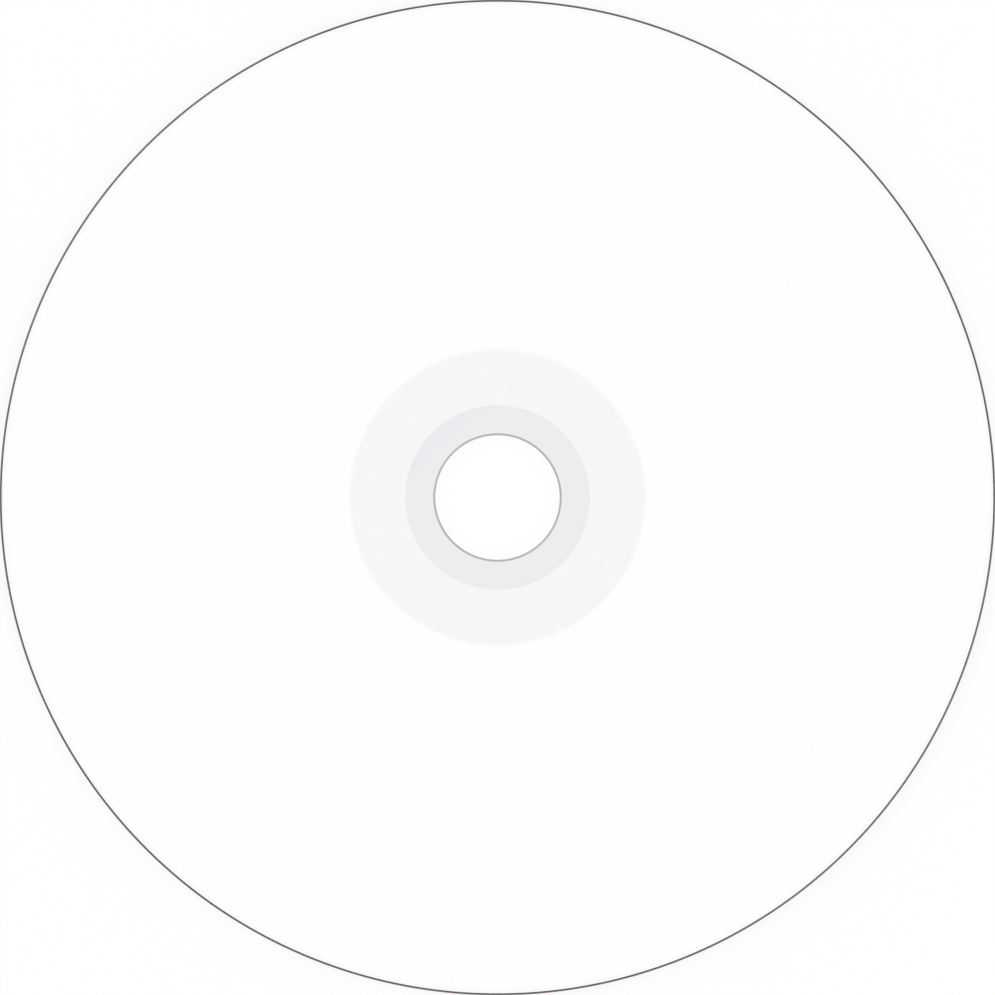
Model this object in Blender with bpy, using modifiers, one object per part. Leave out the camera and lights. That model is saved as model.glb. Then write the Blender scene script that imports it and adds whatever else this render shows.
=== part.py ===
"""Compact disc with a blank white printable face, at its real size in metres, with +Z up.

The disc lies read side down on the stacking ring that is moulded round its hub. The origin is on
the axis of the centre hole, level with the foot of that ring. The real disc is three layers that
are bonded for good, and each is one object here: the clear moulded disc, the metal film under its
lacquer, and the white coat that takes the print.
"""

import math

import bpy

# The moulded disc. Its edges at the rim and at the hole are rounded alike on both sides.
OUTER_DIAMETER = 0.1200
HOLE_DIAMETER = 0.0150
DISC_THICKNESS = 0.0012
EDGE_ROUND = 0.00024

# The hub is the band next to the hole. The mould leaves it slightly sunk on both sides.
HUB_WIDTH = 0.00355
HUB_SINK = 0.00005
HUB_STEP_WIDTH = 0.00010

# The flat band that a drive clamps lies between the hub and the stacking ring. The ring stands
# on the read side and keeps the recorded face off whatever the disc lies on.
CLAMP_BAND_WIDTH = 0.00565
STACK_RING_HEIGHT = 0.00025
STACK_RING_FOOT_WIDTH = 0.00050
STACK_RING_FLANK_WIDTH = 0.00025

# The metal film and its lacquer, counted as one layer. It starts outside the hub by the width
# that the sputtering mask covers, and stops short of the rim, where the lacquer seals it.
MIRROR_THICKNESS = 0.00001
MASK_WIDTH = 0.00675
MIRROR_RIM_MARGIN = 0.0010

# The white coat runs from the hub to the rounded rim. It is screened on at one thickness, so it
# climbs a soft shoulder where the mirror starts under it, and its own edges are bevelled.
COAT_THICKNESS = 0.00003
COAT_SHOULDER_WIDTH = 0.00015

# The bonded layers are drawn this far apart, so that neither mesh cuts the other.
BOND_CLEARANCE = 0.000002

# Flat sides that stand for each round, and the points on each rounded edge and flank.
SIDES = 144
ROUND_STEPS = 3
FLANK_STEPS = 3

# Radii that follow, from the hole outwards.
outer_radius = OUTER_DIAMETER / 2
hole_radius = HOLE_DIAMETER / 2
hub_radius = hole_radius + HUB_WIDTH
hub_step_radius = hub_radius - HUB_STEP_WIDTH
ring_inner_radius = hub_radius + CLAMP_BAND_WIDTH
foot_inner_radius = ring_inner_radius + STACK_RING_FLANK_WIDTH
foot_outer_radius = foot_inner_radius + STACK_RING_FOOT_WIDTH
ring_outer_radius = foot_outer_radius + STACK_RING_FLANK_WIDTH
mirror_inner_radius = hub_radius + MASK_WIDTH
mirror_outer_radius = outer_radius - MIRROR_RIM_MARGIN
coat_outer_radius = outer_radius - EDGE_ROUND

# Heights that follow, from the foot of the stacking ring upwards.
read_face_z = STACK_RING_HEIGHT
label_face_z = read_face_z + DISC_THICKNESS
read_hub_z = read_face_z + HUB_SINK
label_hub_z = label_face_z - HUB_SINK
mirror_bottom_z = label_face_z + BOND_CLEARANCE
mirror_top_z = mirror_bottom_z + MIRROR_THICKNESS
coat_low_z = label_face_z + BOND_CLEARANCE
coat_high_z = mirror_top_z + BOND_CLEARANCE


def rounded_edge(centre_radius, centre_z, start_degrees):
    """Points of a quarter round that turns clockwise from start_degrees, as (radius, z)."""
    points = []
    for step in range(ROUND_STEPS + 1):
        angle = math.radians(start_degrees - 90 * step / ROUND_STEPS)
        radius = centre_radius + EDGE_ROUND * math.cos(angle)
        points.append((radius, centre_z + EDGE_ROUND * math.sin(angle)))
    return points


def flank(start, end):
    """Points of a moulded flank from start to end, level where it leaves and where it lands."""
    points = []
    for step in range(FLANK_STEPS + 1):
        share = step / FLANK_STEPS
        rise = share * share * (3 - 2 * share)
        radius = start[0] + (end[0] - start[0]) * share
        points.append((radius, start[1] + (end[1] - start[1]) * rise))
    return points


def moulded_disc_outline():
    """Section of the clear disc, down the rim, in along the read side and back along the label side."""
    rim_centre = outer_radius - EDGE_ROUND
    hole_centre = hole_radius + EDGE_ROUND
    outline = rounded_edge(rim_centre, label_face_z - EDGE_ROUND, 90)
    outline += rounded_edge(rim_centre, read_face_z + EDGE_ROUND, 0)
    outline += flank((ring_outer_radius, read_face_z), (foot_outer_radius, 0))
    outline += flank((foot_inner_radius, 0), (ring_inner_radius, read_face_z))
    outline += [(hub_radius, read_face_z), (hub_step_radius, read_hub_z)]
    outline += rounded_edge(hole_centre, read_hub_z + EDGE_ROUND, -90)
    outline += rounded_edge(hole_centre, label_hub_z - EDGE_ROUND, 180)
    outline += [(hub_step_radius, label_hub_z), (hub_radius, label_face_z)]
    return outline


def mirror_outline():
    """Section of the metal film with its lacquer, a flat ring on the label face."""
    return [
        (mirror_outer_radius, mirror_top_z),
        (mirror_outer_radius, mirror_bottom_z),
        (mirror_inner_radius, mirror_bottom_z),
        (mirror_inner_radius, mirror_top_z),
    ]


def coat_outline():
    """Section of the white coat, which wraps over both edges of the mirror."""
    outer_wrap = mirror_outer_radius + BOND_CLEARANCE
    inner_wrap = mirror_inner_radius - BOND_CLEARANCE
    underside = [
        (coat_outer_radius, coat_low_z),
        (outer_wrap, coat_low_z),
        (outer_wrap, coat_high_z),
        (inner_wrap, coat_high_z),
        (inner_wrap, coat_low_z),
        (hub_radius, coat_low_z),
    ]
    top = [
        (hub_radius + COAT_THICKNESS, coat_low_z + COAT_THICKNESS),
        (inner_wrap - COAT_SHOULDER_WIDTH, coat_low_z + COAT_THICKNESS),
        (inner_wrap, coat_high_z + COAT_THICKNESS),
        (outer_wrap, coat_high_z + COAT_THICKNESS),
        (outer_wrap + COAT_SHOULDER_WIDTH, coat_low_z + COAT_THICKNESS),
        (coat_outer_radius - COAT_THICKNESS, coat_low_z + COAT_THICKNESS),
    ]
    return underside + top


def finish(name, colour, roughness, metallic=0.0, transmission=0.0, ior=1.5):
    """One Principled material."""
    material = bpy.data.materials.new(name)
    material.use_nodes = True
    shader = material.node_tree.nodes["Principled BSDF"]
    shader.inputs["Base Color"].default_value = (*colour, 1)
    shader.inputs["Roughness"].default_value = roughness
    shader.inputs["Metallic"].default_value = metallic
    shader.inputs["Transmission Weight"].default_value = transmission
    shader.inputs["IOR"].default_value = ior
    return material


def turned_piece(name, outline, material, collection, axis):
    """Turn a closed outline once round Z, as one object that hangs on the disc's axis."""
    section = bpy.data.meshes.new(name + "_section")
    vertices = [(radius, 0, z) for radius, z in outline]
    edges = [(index, (index + 1) % len(outline)) for index in range(len(outline))]
    section.from_pydata(vertices, edges, [])
    piece = bpy.data.objects.new(name, section)
    collection.objects.link(piece)
    turn = piece.modifiers.new("Turn", "SCREW")
    turn.steps = SIDES
    turn.render_steps = SIDES
    turn.use_merge_vertices = False

    depsgraph = bpy.context.evaluated_depsgraph_get()
    mesh = bpy.data.meshes.new_from_object(piece.evaluated_get(depsgraph))
    mesh.name = name
    mesh.shade_smooth()
    mesh.set_sharp_from_angle(angle=math.radians(40))
    piece.modifiers.clear()
    piece.data = mesh
    bpy.data.meshes.remove(section)
    piece.data.materials.append(material)
    piece.parent = axis
    return piece


for old in list(bpy.data.objects):
    bpy.data.objects.remove(old, do_unlink=True)

disc = bpy.data.collections.new("compact_disc")
bpy.context.scene.collection.children.link(disc)
disc_axis = bpy.data.objects.new("disc_axis", None)
disc_axis.empty_display_size = hole_radius
disc.objects.link(disc_axis)

clear_plastic = finish("clear_polycarbonate", (0.93, 0.95, 0.97), 0.04, transmission=1.0, ior=1.58)
silver_film = finish("silver_film", (0.80, 0.84, 0.84), 0.12, metallic=1.0)
white_ink_coat = finish("white_ink_coat", (0.93, 0.93, 0.93), 0.75)

turned_piece("polycarbonate_disc", moulded_disc_outline(), clear_plastic, disc, disc_axis)
turned_piece("reflective_layer", mirror_outline(), silver_film, disc, disc_axis)
turned_piece("printable_coat", coat_outline(), white_ink_coat, disc, disc_axis)
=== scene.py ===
"""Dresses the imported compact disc: clear disc, mirror film, white printable coat and a plain studio."""

import math

import bmesh
import bpy
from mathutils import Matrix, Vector


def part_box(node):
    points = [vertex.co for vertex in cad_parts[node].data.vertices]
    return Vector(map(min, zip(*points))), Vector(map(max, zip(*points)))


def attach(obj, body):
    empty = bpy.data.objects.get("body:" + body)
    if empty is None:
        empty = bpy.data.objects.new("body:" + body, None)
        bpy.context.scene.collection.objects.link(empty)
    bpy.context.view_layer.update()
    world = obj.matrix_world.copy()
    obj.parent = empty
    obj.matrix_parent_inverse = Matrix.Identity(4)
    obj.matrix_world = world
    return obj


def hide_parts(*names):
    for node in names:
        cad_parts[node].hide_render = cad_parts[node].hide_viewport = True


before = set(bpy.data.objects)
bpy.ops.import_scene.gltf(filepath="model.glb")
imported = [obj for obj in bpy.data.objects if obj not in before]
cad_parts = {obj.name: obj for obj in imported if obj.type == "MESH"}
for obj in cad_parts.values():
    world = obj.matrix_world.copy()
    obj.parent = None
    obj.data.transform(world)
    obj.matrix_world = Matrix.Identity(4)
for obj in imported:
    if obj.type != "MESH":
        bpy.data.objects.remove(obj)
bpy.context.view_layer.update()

# Clear disc. The real one is moulded in one shot of polycarbonate, with the hole, the sunk hub, the
# clamping band and the stacking ring in the mould. It is bare at the hub and at the rounded edges.
DISC_SIDES = 360
SHARP_FROM = math.radians(35)
FLAT_FACE_WEIGHT = 100
HAIR = 0.000001
EDGE_ROUND = 0.00024
EDGE_ROUND_STEPS = 8
HUB_SINK = 0.00005
HUB_STEP_WIDTH = 0.00010
STACK_RING_HEIGHT = 0.00025
RING_INNER_RADIUS = 0.0167
RING_OUTER_RADIUS = 0.0177
RING_FLANK_WIDTH = 0.00025
RING_ROUND = 0.00010
RING_ROUND_STEPS = 3
BAKE_MAP = "OFBake"
LEAST_MAP_STEP = 0.0003


def reach(node):
    """The least and greatest radius of a node, less a hair at the rim, and its lowest and highest z."""
    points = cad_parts[node].data.vertices
    radii = [math.hypot(point.co.x, point.co.y) for point in points]
    low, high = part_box(node)
    return min(radii), max(radii) - HAIR, low[2], high[2]


def on_ring(point, radius, z):
    """True if a point lies on the ring of this radius and height."""
    return abs(math.hypot(point.x, point.y) - radius) < HAIR and abs(point.z - z) < HAIR


def unroll(shape):
    """Lay a turned shape out on a map of its own. The way round the axis is the map's width, and the way
    round the outline is its height. Even a hair-thin ring gets rows of its own there, so that its colour
    stays even all the way round."""
    layer = shape.loops.layers.uv.new(BAKE_MAP)
    start = next(
        corner for corner in next(iter(shape.faces)).loops
        if not on_ring(corner.link_loop_next.vert.co, corner.vert.co.xy.length, corner.vert.co.z)
    )
    strips = [start]
    while (onward := strips[-1].link_loop_next.link_loop_radial_next.link_loop_next) != start:
        strips.append(onward)
    steps = [max(strip.edge.calc_length(), LEAST_MAP_STEP) for strip in strips]
    outline_length = sum(steps)
    top = 1.0
    for corner, step in zip(strips, steps):
        bottom = top - step / outline_length
        for side in range(DISC_SIDES):
            left, right = side / DISC_SIDES, (side + 1) / DISC_SIDES
            across = corner.link_loop_next.link_loop_next
            corner[layer].uv = (left, top)
            corner.link_loop_next[layer].uv = (left, bottom)
            across[layer].uv = (right, bottom)
            across.link_loop_next[layer].uv = (right, top)
            corner = across.link_loop_radial_next
        top = bottom


def turn(name, outline, rounds=()):
    """Spin a closed outline of (radius, z) points round Z, then bevel the rings named in rounds."""
    mesh = bpy.data.meshes.new(name)
    shape = bmesh.new()
    points = [shape.verts.new((radius, 0, z)) for radius, z in outline]
    for first, second in zip(points, points[1:] + points[:1]):
        shape.edges.new((first, second))
    bmesh.ops.spin(
        shape, geom=shape.verts[:] + shape.edges[:], cent=(0, 0, 0), axis=(0, 0, 1),
        dvec=(0, 0, 0), angle=math.tau, steps=DISC_SIDES, use_merge=True,
    )
    bmesh.ops.recalc_face_normals(shape, faces=shape.faces)
    for radius, z, offset, steps in rounds:
        ring = [edge for edge in shape.edges if all(on_ring(v.co, radius, z) for v in edge.verts)]
        bmesh.ops.bevel(
            shape, geom=ring, offset=offset, offset_type="OFFSET", affect="EDGES",
            segments=steps, profile=0.5, material=-1,
        )
    unroll(shape)
    shape.to_mesh(mesh)
    shape.free()
    mesh.shade_smooth()
    mesh.set_sharp_from_angle(angle=SHARP_FROM)
    piece = bpy.data.objects.new(name, mesh)
    bpy.context.scene.collection.objects.link(piece)
    flats = piece.modifiers.new("Level flats", "WEIGHTED_NORMAL")
    flats.weight = FLAT_FACE_WEIGHT
    flats.keep_sharp = True
    return piece


hole_radius, rim_radius, foot_z, label_face_z = reach("polycarbonate_disc")
read_face_z = foot_z + STACK_RING_HEIGHT
read_hub_z = read_face_z + HUB_SINK
label_hub_z = label_face_z - HUB_SINK
hub_radius = reach("printable_coat")[0]
hub_step_radius = hub_radius - HUB_STEP_WIDTH
foot_inner_radius = RING_INNER_RADIUS + RING_FLANK_WIDTH
foot_outer_radius = RING_OUTER_RADIUS - RING_FLANK_WIDTH

clear_disc = turn(
    "clear_disc",
    [
        (rim_radius, label_face_z),
        (rim_radius, read_face_z),
        (RING_OUTER_RADIUS, read_face_z),
        (foot_outer_radius, foot_z),
        (foot_inner_radius, foot_z),
        (RING_INNER_RADIUS, read_face_z),
        (hub_radius, read_face_z),
        (hub_step_radius, read_hub_z),
        (hole_radius, read_hub_z),
        (hole_radius, label_hub_z),
        (hub_step_radius, label_hub_z),
        (hub_radius, label_face_z),
    ],
    rounds=[
        (rim_radius, label_face_z, EDGE_ROUND, EDGE_ROUND_STEPS),
        (rim_radius, read_face_z, EDGE_ROUND, EDGE_ROUND_STEPS),
        (hole_radius, label_hub_z, EDGE_ROUND, EDGE_ROUND_STEPS),
        (hole_radius, read_hub_z, EDGE_ROUND, EDGE_ROUND_STEPS),
        (RING_OUTER_RADIUS, read_face_z, RING_ROUND, RING_ROUND_STEPS),
        (foot_outer_radius, foot_z, RING_ROUND, RING_ROUND_STEPS),
        (foot_inner_radius, foot_z, RING_ROUND, RING_ROUND_STEPS),
        (RING_INNER_RADIUS, read_face_z, RING_ROUND, RING_ROUND_STEPS),
    ],
)

POLYCARBONATE_IOR = 1.585
CLEAR_TINT = (0.856, 0.856, 0.857)
CLEAR_ROUGHNESS = (0.012, 0.035)
RUB_MARK_SIZE = 0.004
LAMP_TINT = (0.90, 0.90, 0.91)
LILAC_TINT = (0.843, 0.842, 0.878)
LILAC_SIDE = (-0.7, 0.7, 0)
LILAC_FROM = 0.0083
LILAC_TO = 0.0099
SATIN_TINT = (0.78, 0.80, 0.82)
SATIN_SHADE = (0.70, 0.72, 0.75)
SATIN_ROUGHNESS = (0.30, 0.45)
SATIN_CLEARNESS = 0.6
DRAG_MARK_SIZE = 0.0003
DRAG_MARK_STRETCH = (1, 1, 0.2)
# The two round tints below are painted shade for the dark lines at the rim and the hole.
RIM_PAINTED_SHADE = (0.018, 0.018, 0.019)
HOLE_EDGE_PAINTED_SHADE = (0.215, 0.215, 0.22)
ROUND_ROUGHNESS = (0.02, 0.06)
ROUND_MARK_SIZE = 0.001
WALL_SLOPE = 0.05
CLOUD_LOW = 0.3
CLOUD_HIGH = 0.7


def new_material(name):
    """A material with its node tree, its Principled shader and the place on the disc that it reads."""
    material = bpy.data.materials.new(name)
    material.use_nodes = True
    tree = material.node_tree
    place = tree.nodes.new("ShaderNodeTexCoord").outputs["Object"]
    return material, tree, tree.nodes["Principled BSDF"], place


def reckon(tree, operation, *values):
    """A sum on numbers and sockets."""
    node = tree.nodes.new("ShaderNodeMath")
    node.operation = operation
    for socket, value in zip(node.inputs, values):
        if isinstance(value, (int, float)):
            socket.default_value = value
        else:
            tree.links.new(value, socket)
    return node.outputs["Value"]


def set_against(tree, operation, place, direction):
    """A place stretched by, measured along or crossed with a fixed direction."""
    node = tree.nodes.new("ShaderNodeVectorMath")
    node.operation = operation
    node.inputs[1].default_value = direction
    tree.links.new(place, node.inputs[0])
    return node.outputs["Value" if operation == "DOT_PRODUCT" else "Vector"]


def from_axis_to(tree, place):
    """How far a place is from the disc's axis."""
    length = tree.nodes.new("ShaderNodeVectorMath")
    length.operation = "LENGTH"
    tree.links.new(set_against(tree, "MULTIPLY", place, (1, 1, 0)), length.inputs[0])
    return length.outputs["Value"]


def band(tree, value, start, end, low=0.0, high=1.0):
    """A share that goes smoothly from low to high as a value goes from start to end."""
    share = tree.nodes.new("ShaderNodeMapRange")
    share.interpolation_type = "SMOOTHSTEP"
    share.inputs["From Min"].default_value = start
    share.inputs["From Max"].default_value = end
    share.inputs["To Min"].default_value = low
    share.inputs["To Max"].default_value = high
    tree.links.new(value, share.inputs["Value"])
    return share.outputs["Result"]


def cloud(tree, place, size):
    """An even, cloudy pattern whose spots are about this many metres across."""
    noise = tree.nodes.new("ShaderNodeTexNoise")
    noise.inputs["Scale"].default_value = 1 / size
    tree.links.new(place, noise.inputs["Vector"])
    return noise.outputs["Fac"]


def speckle(tree, pattern, low=0.0, high=1.0):
    """A value that wanders from low to high with a cloudy pattern."""
    return band(tree, pattern, CLOUD_LOW, CLOUD_HIGH, low, high)


def blend_colour(tree, share, first, second):
    """Mix two colours by a share. Each colour is a triple or the output of another node."""
    mix = tree.nodes.new("ShaderNodeMix")
    mix.data_type = "RGBA"
    tree.links.new(share, mix.inputs["Factor"])
    sockets = [socket for socket in mix.inputs if socket.type == "RGBA"]
    for socket, colour in zip(sockets, (first, second)):
        if isinstance(colour, tuple):
            socket.default_value = (*colour, 1)
        else:
            tree.links.new(colour, socket)
    return next(socket for socket in mix.outputs if socket.type == "RGBA")


def blend_shader(tree, share, first, second):
    """Mix two shaders by a share."""
    mix = tree.nodes.new("ShaderNodeMixShader")
    for socket, source in zip(mix.inputs, (share, first, second)):
        tree.links.new(source, socket)
    return mix.outputs["Shader"]


# The faces are polished by the mould and lightly rubbed, with a lilac cast on one side of the hub.
# Lamps and bounced light pass straight through, so that the plastic throws no dark shadow.
clear_plastic, tree, shader, place = new_material("clear_polycarbonate")
on_hub = band(tree, from_axis_to(tree, place), hub_radius, hub_step_radius)
on_lilac_side = band(tree, set_against(tree, "DOT_PRODUCT", place, LILAC_SIDE), LILAC_FROM, LILAC_TO)
lilac_share = reckon(tree, "MULTIPLY", on_hub, on_lilac_side)
tree.links.new(blend_colour(tree, lilac_share, CLEAR_TINT, LILAC_TINT), shader.inputs["Base Color"])
rub_marks = cloud(tree, place, RUB_MARK_SIZE)
tree.links.new(speckle(tree, rub_marks, *CLEAR_ROUGHNESS), shader.inputs["Roughness"])
shader.inputs["IOR"].default_value = POLYCARBONATE_IOR
shader.inputs["Transmission Weight"].default_value = 1.0
lets_lamps = tree.nodes.new("ShaderNodeBsdfTransparent")
lets_lamps.inputs["Color"].default_value = (*LAMP_TINT, 1)
ray = tree.nodes.new("ShaderNodeLightPath")
light_only = reckon(tree, "MAXIMUM", ray.outputs["Is Shadow Ray"], ray.outputs["Is Diffuse Ray"])
surface = blend_shader(tree, light_only, shader.outputs["BSDF"], lets_lamps.outputs["BSDF"])
tree.links.new(surface, tree.nodes["Material Output"].inputs["Surface"])

# The upright walls at the rim and in the hole are satin, dragged by the mould as the disc leaves it.
satin_plastic, tree, shader, place = new_material("satin_moulded_edge")
drag_marks = cloud(tree, set_against(tree, "MULTIPLY", place, DRAG_MARK_STRETCH), DRAG_MARK_SIZE)
satin_tone = blend_colour(tree, speckle(tree, drag_marks), SATIN_TINT, SATIN_SHADE)
tree.links.new(satin_tone, shader.inputs["Base Color"])
tree.links.new(speckle(tree, drag_marks, *SATIN_ROUGHNESS), shader.inputs["Roughness"])
shader.inputs["IOR"].default_value = POLYCARBONATE_IOR
shader.inputs["Transmission Weight"].default_value = SATIN_CLEARNESS


def rounded_edge(name, tint):
    """The plastic of a rounded edge, which bends the light away and so shows as a thin dark line. The
    line is painted shade: a dark tint on the clear plastic.
    """
    plastic, tree, shader, place = new_material(name)
    shader.inputs["Base Color"].default_value = (*tint, 1)
    round_marks = cloud(tree, place, ROUND_MARK_SIZE)
    tree.links.new(speckle(tree, round_marks, *ROUND_ROUGHNESS), shader.inputs["Roughness"])
    shader.inputs["IOR"].default_value = POLYCARBONATE_IOR
    shader.inputs["Transmission Weight"].default_value = 1.0
    return plastic


# The rim's near-black tint and the hole edge's grey tint are painted shade.
rim_plastic = rounded_edge("rim_round_painted_shade", RIM_PAINTED_SHADE)
hole_plastic = rounded_edge("hole_round_painted_shade", HOLE_EDGE_PAINTED_SHADE)
disc_finishes = clear_disc.data.materials
for finish in (clear_plastic, satin_plastic, rim_plastic, hole_plastic):
    disc_finishes.append(finish)
for face in clear_disc.data.polygons:
    from_axis = math.hypot(face.center.x, face.center.y)
    at_rim = from_axis > rim_radius - EDGE_ROUND
    at_hole = from_axis < hole_radius + EDGE_ROUND
    if (at_rim or at_hole) and abs(face.normal.z) < WALL_SLOPE:
        face.material_index = disc_finishes.find(satin_plastic.name)
    elif at_rim:
        face.material_index = disc_finishes.find(rim_plastic.name)
    elif at_hole:
        face.material_index = disc_finishes.find(hole_plastic.name)
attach(clear_disc, "root")
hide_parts("polycarbonate_disc")

# Mirror film. A metal film under a thin lacquer, sputtered onto the label face and masked off at
# the hub and the rim. It is seen from below through the clear disc, with the spiral groove in it.
FILM_SILVER = (0.80, 0.83, 0.83)
FILM_ROUGHNESS = 0.05
GROOVED_SILVER = (0.72, 0.78, 0.76)
GROOVED_ROUGHNESS = 0.16
GROOVE_STREAKING = 0.7
GROOVE_INNER_RADIUS = 0.02235
GROOVE_OUTER_RADIUS = 0.0585
GROOVE_BLEND = 0.00015
RAINBOW_WEDGES = 2
RAINBOW_WEDGE_FROM = 0.1
RAINBOW_TURNS = 6.0
RAINBOW_LEAN = 9.0
RAINBOW_SATURATION = 0.75
RAINBOW_BRIGHTNESS = 0.95
RAINBOW_STRENGTH = 0.38

film_inner, film_outer, film_bottom, film_top = reach("reflective_layer")
mirror_film = turn(
    "mirror_film",
    [
        (film_outer, film_top),
        (film_outer, film_bottom),
        (film_inner, film_bottom),
        (film_inner, film_top),
    ],
)

silver, tree, shader, place = new_material("silver_film")
radius = from_axis_to(tree, place)
past_start = band(tree, radius, GROOVE_INNER_RADIUS - GROOVE_BLEND, GROOVE_INNER_RADIUS + GROOVE_BLEND)
before_end = band(tree, radius, GROOVE_OUTER_RADIUS + GROOVE_BLEND, GROOVE_OUTER_RADIUS - GROOVE_BLEND)
grooved = reckon(tree, "MULTIPLY", past_start, before_end)
metal = blend_colour(tree, grooved, FILM_SILVER, GROOVED_SILVER)

# The groove splits white light into two opposite wedges of rainbow, which lean over outwards. They are a
# painted reflection, fixed in the film's colour.
round_disc = tree.nodes.new("ShaderNodeTexGradient")
round_disc.gradient_type = "RADIAL"
tree.links.new(place, round_disc.inputs["Vector"])
way_round = round_disc.outputs["Fac"]
wave = reckon(tree, "COSINE", reckon(tree, "MULTIPLY", way_round, math.tau * RAINBOW_WEDGES))
wedge = band(tree, wave, RAINBOW_WEDGE_FROM, 1.0)
leaning = reckon(tree, "MULTIPLY", radius, RAINBOW_LEAN)
hue = reckon(tree, "ADD", reckon(tree, "MULTIPLY", way_round, RAINBOW_TURNS), leaning)
rainbow = tree.nodes.new("ShaderNodeCombineColor")
rainbow.mode = "HSV"
tree.links.new(reckon(tree, "FRACT", hue), rainbow.inputs["Red"])
rainbow.inputs["Green"].default_value = RAINBOW_SATURATION
rainbow.inputs["Blue"].default_value = RAINBOW_BRIGHTNESS
painted_rainbow_share = reckon(tree, "MULTIPLY", reckon(tree, "MULTIPLY", wedge, grooved), RAINBOW_STRENGTH)
metal = blend_colour(tree, painted_rainbow_share, metal, rainbow.outputs["Color"])
tree.links.new(metal, shader.inputs["Base Color"])
film_sheen = band(tree, grooved, 0.0, 1.0, FILM_ROUGHNESS, GROOVED_ROUGHNESS)
tree.links.new(film_sheen, shader.inputs["Roughness"])
shader.inputs["Metallic"].default_value = 1.0
shader.inputs["Anisotropic"].default_value = GROOVE_STREAKING
tree.links.new(set_against(tree, "CROSS_PRODUCT", place, (0, 0, 1)), shader.inputs["Tangent"])
mirror_film.data.materials.append(silver)
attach(mirror_film, "root")
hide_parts("reflective_layer")

# White coat. A matte white layer that takes ink, screened over the whole label side from the hub
# to the rounded rim. It is thin enough to look greyer where it has no mirror behind it.
COAT_WHITE = (0.990, 0.990, 0.990)
COAT_WHITE_SHADE = (0.984, 0.985, 0.986)
COAT_OVER_PLASTIC = (0.922, 0.922, 0.922)
COAT_OVER_PLASTIC_SHADE = (0.916, 0.916, 0.918)
COAT_ROUGHNESS = (0.66, 0.82)
COAT_GLOSS = 0.3
# The coat edge's grey is painted shade.
COAT_EDGE_PAINTED_SHADE = (0.15, 0.15, 0.152)
COAT_EDGE_ROUGHNESS = (0.5, 0.7)
COAT_THICKNESS = 0.00003
COAT_SHOULDER_WIDTH = 0.00015
FILM_EDGE_BLUR = 0.0003
PEEL_GRAIN = 0.0016
PEEL_GRAIN_DEPTH = 0.000003
MESH_GRAIN = 0.00014
MESH_GRAIN_DEPTH = 0.000004

coat_inner, coat_outer, coat_low, coat_top = reach("printable_coat")
coat_ledge = coat_low + COAT_THICKNESS
coat_over_film = coat_top - COAT_THICKNESS
wrap_inner = film_inner - (coat_low - label_face_z)
wrap_outer = film_outer + (coat_low - label_face_z)
white_coat = turn(
    "white_coat",
    [
        (coat_outer, coat_low),
        (wrap_outer, coat_low),
        (wrap_outer, coat_over_film),
        (wrap_inner, coat_over_film),
        (wrap_inner, coat_low),
        (coat_inner, coat_low),
        (coat_inner + COAT_THICKNESS, coat_ledge),
        (wrap_inner - COAT_SHOULDER_WIDTH, coat_ledge),
        (wrap_inner, coat_top),
        (wrap_outer, coat_top),
        (wrap_outer + COAT_SHOULDER_WIDTH, coat_ledge),
        (coat_outer - COAT_THICKNESS, coat_ledge),
    ],
)

ink_coat, tree, shader, place = new_material("white_ink_coat")
radius = from_axis_to(tree, place)
past_film_start = band(tree, radius, film_inner - FILM_EDGE_BLUR, film_inner + FILM_EDGE_BLUR)
before_film_end = band(tree, radius, rim_radius, film_outer)
over_mirror = reckon(tree, "MULTIPLY", past_film_start, before_film_end)
peel_grain = cloud(tree, place, PEEL_GRAIN)
patchy = speckle(tree, peel_grain)
plain_tone = blend_colour(tree, patchy, COAT_OVER_PLASTIC, COAT_OVER_PLASTIC_SHADE)
backed_tone = blend_colour(tree, patchy, COAT_WHITE, COAT_WHITE_SHADE)
tree.links.new(blend_colour(tree, over_mirror, plain_tone, backed_tone), shader.inputs["Base Color"])
mesh_grain = cloud(tree, place, MESH_GRAIN)
tree.links.new(speckle(tree, mesh_grain, *COAT_ROUGHNESS), shader.inputs["Roughness"])
shader.inputs["Specular IOR Level"].default_value = COAT_GLOSS
peel_bump = tree.nodes.new("ShaderNodeBump")
peel_bump.inputs["Distance"].default_value = PEEL_GRAIN_DEPTH
tree.links.new(peel_grain, peel_bump.inputs["Height"])
mesh_bump = tree.nodes.new("ShaderNodeBump")
mesh_bump.inputs["Distance"].default_value = MESH_GRAIN_DEPTH
tree.links.new(mesh_grain, mesh_bump.inputs["Height"])
tree.links.new(peel_bump.outputs["Normal"], mesh_bump.inputs["Normal"])
tree.links.new(mesh_bump.outputs["Normal"], shader.inputs["Normal"])

# The coat's bevelled outer edge is too thin to hide the rounded rim beneath it. Its grey is painted shade
# that carries the rim's painted dark line onto the coat.
thin_coat, tree, shader, place = new_material("coat_edge_painted_shade")
shader.inputs["Base Color"].default_value = (*COAT_EDGE_PAINTED_SHADE, 1)
edge_grain = cloud(tree, place, MESH_GRAIN)
tree.links.new(speckle(tree, edge_grain, *COAT_EDGE_ROUGHNESS), shader.inputs["Roughness"])

coat_finishes = white_coat.data.materials
for finish in (ink_coat, thin_coat):
    coat_finishes.append(finish)
for face in white_coat.data.polygons:
    if math.hypot(face.center.x, face.center.y) > coat_outer - COAT_THICKNESS:
        face.material_index = coat_finishes.find(thin_coat.name)
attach(white_coat, "root")
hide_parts("printable_coat")

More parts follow.
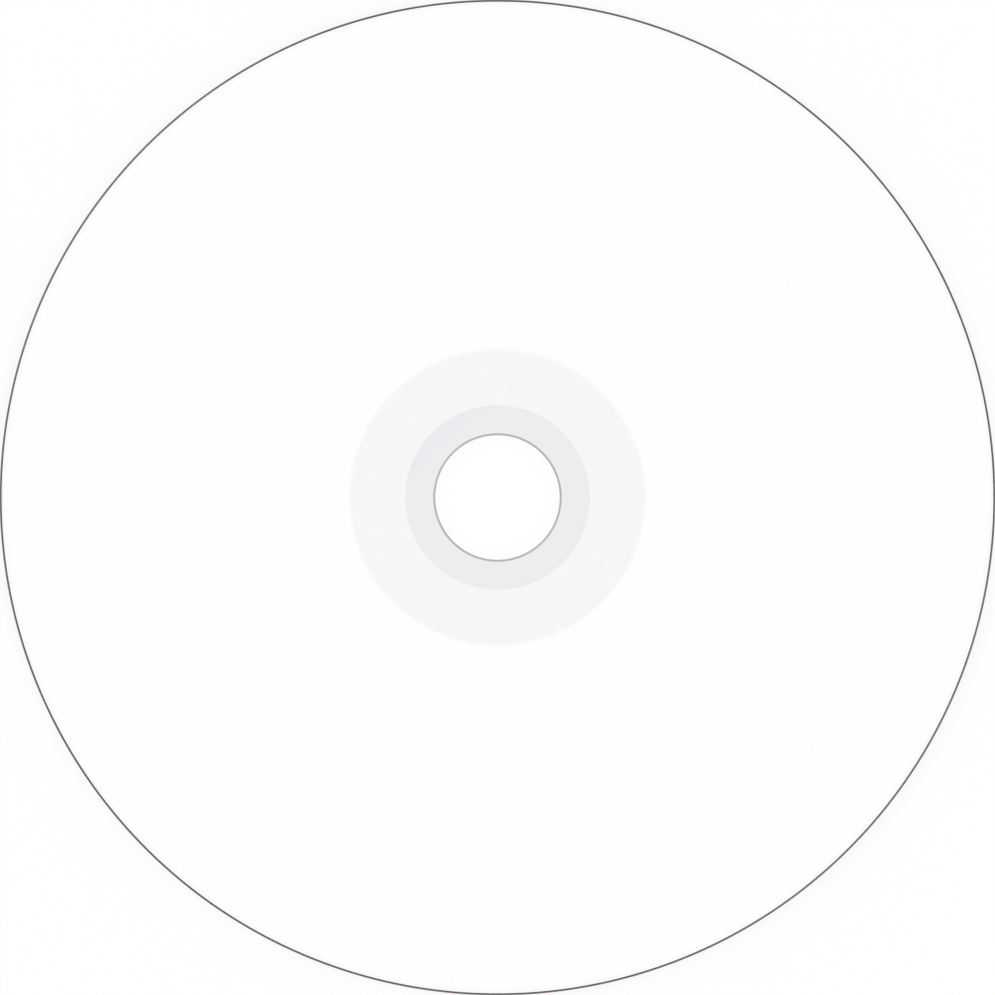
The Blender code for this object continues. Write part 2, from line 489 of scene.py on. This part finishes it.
# Floor. A wide pale tabletop that the stacking ring stands on. It shows white to the camera, and
# near the disc it takes part of its tone from the light, so that the disc keeps a soft shadow.
FLOOR_SIZE = 8.0
FLOOR_COLOUR = (0.97, 0.97, 0.97)
FLOOR_ROUGHNESS = 0.9
FLOOR_GLOW = 0.84
UNDER_HUB_PAINTED_LIGHT = 0.94
SHADOW_REACH = 0.10
WHITE_FROM = 0.30


def seen(tree):
    """1 for the rays by which the camera sees a surface, straight or in metal and clear plastic."""
    ray = tree.nodes.new("ShaderNodeLightPath")
    direct = reckon(tree, "MAXIMUM", ray.outputs["Is Camera Ray"], ray.outputs["Is Glossy Ray"])
    return reckon(tree, "MAXIMUM", direct, ray.outputs["Is Transmission Ray"])


floor_mesh = bpy.data.meshes.new("floor")
shape = bmesh.new()
bmesh.ops.create_grid(shape, x_segments=1, y_segments=1, size=FLOOR_SIZE / 2)
shape.to_mesh(floor_mesh)
shape.free()
floor = bpy.data.objects.new("floor", floor_mesh)
bpy.context.scene.collection.objects.link(floor)

# The glow rises under the clear hub, which shows the tabletop: painted light that lifts the shade the
# disc casts there. It rises far out too, where it meets the room.
table_white, tree, shader, place = new_material("table_white")
shader.inputs["Base Color"].default_value = (*FLOOR_COLOUR, 1)
shader.inputs["Roughness"].default_value = FLOOR_ROUGHNESS
shader.inputs["Specular IOR Level"].default_value = 0.0
radius = from_axis_to(tree, place)
far_glow = band(tree, radius, SHADOW_REACH, WHITE_FROM, FLOOR_GLOW, 1.0)
under_hub_painted_light = band(tree, radius, film_outer, film_inner, FLOOR_GLOW, UNDER_HUB_PAINTED_LIGHT)
glow_share = reckon(tree, "MAXIMUM", far_glow, under_hub_painted_light)
glow = tree.nodes.new("ShaderNodeEmission")
tabletop = blend_shader(tree, glow_share, shader.outputs["BSDF"], glow.outputs["Emission"])

# Seen from below, and for light on its way to the read side, the tabletop is clear.
back_side = tree.nodes.new("ShaderNodeNewGeometry").outputs["Backfacing"]
shows = reckon(tree, "MULTIPLY", seen(tree), reckon(tree, "SUBTRACT", 1.0, back_side))
clear = tree.nodes.new("ShaderNodeBsdfTransparent")
surface = blend_shader(tree, shows, clear.outputs["BSDF"], tabletop)
tree.links.new(surface, tree.nodes["Material Output"].inputs["Surface"])
floor.data.materials.append(table_white)

# Studio. A white room lights the disc evenly, and two broad softboxes on opposite sides give its
# edges a direction. The room lights less than it shows, so that the whites of the disc don't clip.
ROOM_LIGHT = 0.75
SOFTBOX_SIZE = 1.2
SOFTBOX_POWER = 6.0
KEY_PLACE = Vector((-1.0, 0.7, 1.2))
FILL_PLACE = Vector((1.0, -0.7, 1.2))

world = bpy.data.worlds.new("white_room")
bpy.context.scene.world = world
world.use_nodes = True
tree = world.node_tree
room = tree.nodes["Background"]
room.inputs["Color"].default_value = (1, 1, 1, 1)
tree.links.new(band(tree, seen(tree), 0.0, 1.0, ROOM_LIGHT, 1.0), room.inputs["Strength"])

# The softboxes don't show as bright patches through the clear hub.
for name, stand in (("key_softbox", KEY_PLACE), ("fill_softbox", FILL_PLACE)):
    lamp = bpy.data.lights.new(name, "AREA")
    lamp.shape = "SQUARE"
    lamp.size = SOFTBOX_SIZE
    lamp.energy = SOFTBOX_POWER
    softbox = bpy.data.objects.new(name, lamp)
    softbox.location = stand
    softbox.rotation_euler = (-stand).to_track_quat("-Z", "Y").to_euler()
    softbox.visible_transmission = False
    bpy.context.scene.collection.objects.link(softbox)

# Camera. It looks straight down the disc's axis from far off, as the picture does, and the rim of
# the disc just fills the frame.
CAMERA_LENS = 200
CAMERA_SENSOR = 36
PICTURE_WIDTH = 0.11998
CLIP_START = 0.05
CLIP_END = 10

edge_level = (label_face_z + read_face_z) / 2
lens = bpy.data.cameras.new("camera")
lens.lens = CAMERA_LENS
lens.sensor_width = CAMERA_SENSOR
lens.clip_start = CLIP_START
lens.clip_end = CLIP_END
camera = bpy.data.objects.new("camera", lens)
camera.location = (0, 0, edge_level + PICTURE_WIDTH * CAMERA_LENS / CAMERA_SENSOR)
bpy.context.scene.collection.objects.link(camera)
bpy.context.scene.camera = camera
bpy.context.scene.view_settings.view_transform = "Standard"
